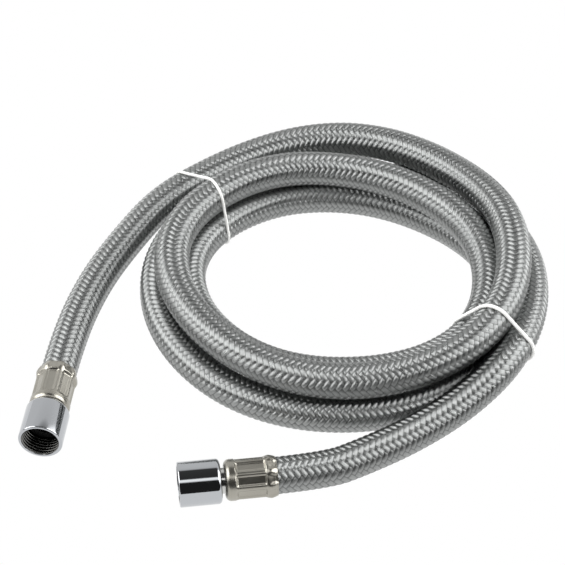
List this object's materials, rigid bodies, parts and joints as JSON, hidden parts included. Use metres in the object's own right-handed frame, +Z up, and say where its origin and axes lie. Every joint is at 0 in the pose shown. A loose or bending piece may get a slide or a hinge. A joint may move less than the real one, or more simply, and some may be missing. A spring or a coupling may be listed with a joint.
{
  "type": "braided water hose",
  "caption": "Flexible wire-braided water hose, coiled and tied, with a threaded swivel nut on a crimped sleeve at each end.",
  "frame": {"origin": "on the floor under the middle of the coiled hose's bounding box", "axes": "+Z up, +X to the right and +Y away when both nuts are at the front left"},
  "size_m": [0.2768, 0.2698, 0.0504],
  "materials": {
    "braid": "satin",
    "liner": "matte",
    "ferrule": "satin",
    "nut": "polished",
    "insert": "satin",
    "slip_ring": "matte",
    "washer": "matte",
    "tie": "gloss"
  },
  "bodies": {
    "hose": {"hose_coil": "braid", "braid_tail_a": "braid", "braid_tail_b": "braid", "liner_tail_a": "liner", "liner_tail_b": "liner", "tie_a": "tie", "tie_b": "tie", "ferrule_a": "ferrule", "ferrule_b": "ferrule", "insert_a": "insert", "insert_b": "insert", "washer_a": "washer", "washer_b": "washer"},
    "nut_a_seat": {"slip_ring_a": "slip_ring"},
    "nut_a_shell": {"nut_a": "nut"},
    "nut_b_seat": {"slip_ring_b": "slip_ring"},
    "nut_b_shell": {"nut_b": "nut"}
  },
  "joints": [
    {"name": "nut_a_slide", "type": "slide", "parent": "hose", "child": "nut_a_seat", "axis": [-0.1271, -0.9919, 0], "range_m": [0, 0.00155]},
    {"name": "nut_a_spin", "type": "hinge", "parent": "nut_a_seat", "child": "nut_a_shell", "pos_m": [-0.12566, -0.083, 0.0115], "axis": [-0.1271, -0.9919, 0], "continuous": true},
    {"name": "nut_b_slide", "type": "slide", "parent": "hose", "child": "nut_b_seat", "axis": [-0.9925, -0.1219, 0], "range_m": [-0.0016, 0]},
    {"name": "nut_b_spin", "type": "hinge", "parent": "nut_b_seat", "child": "nut_b_shell", "pos_m": [-0.04451, -0.12147, 0.0115], "axis": [-0.9925, -0.1219, 0], "continuous": true}
  ]
}
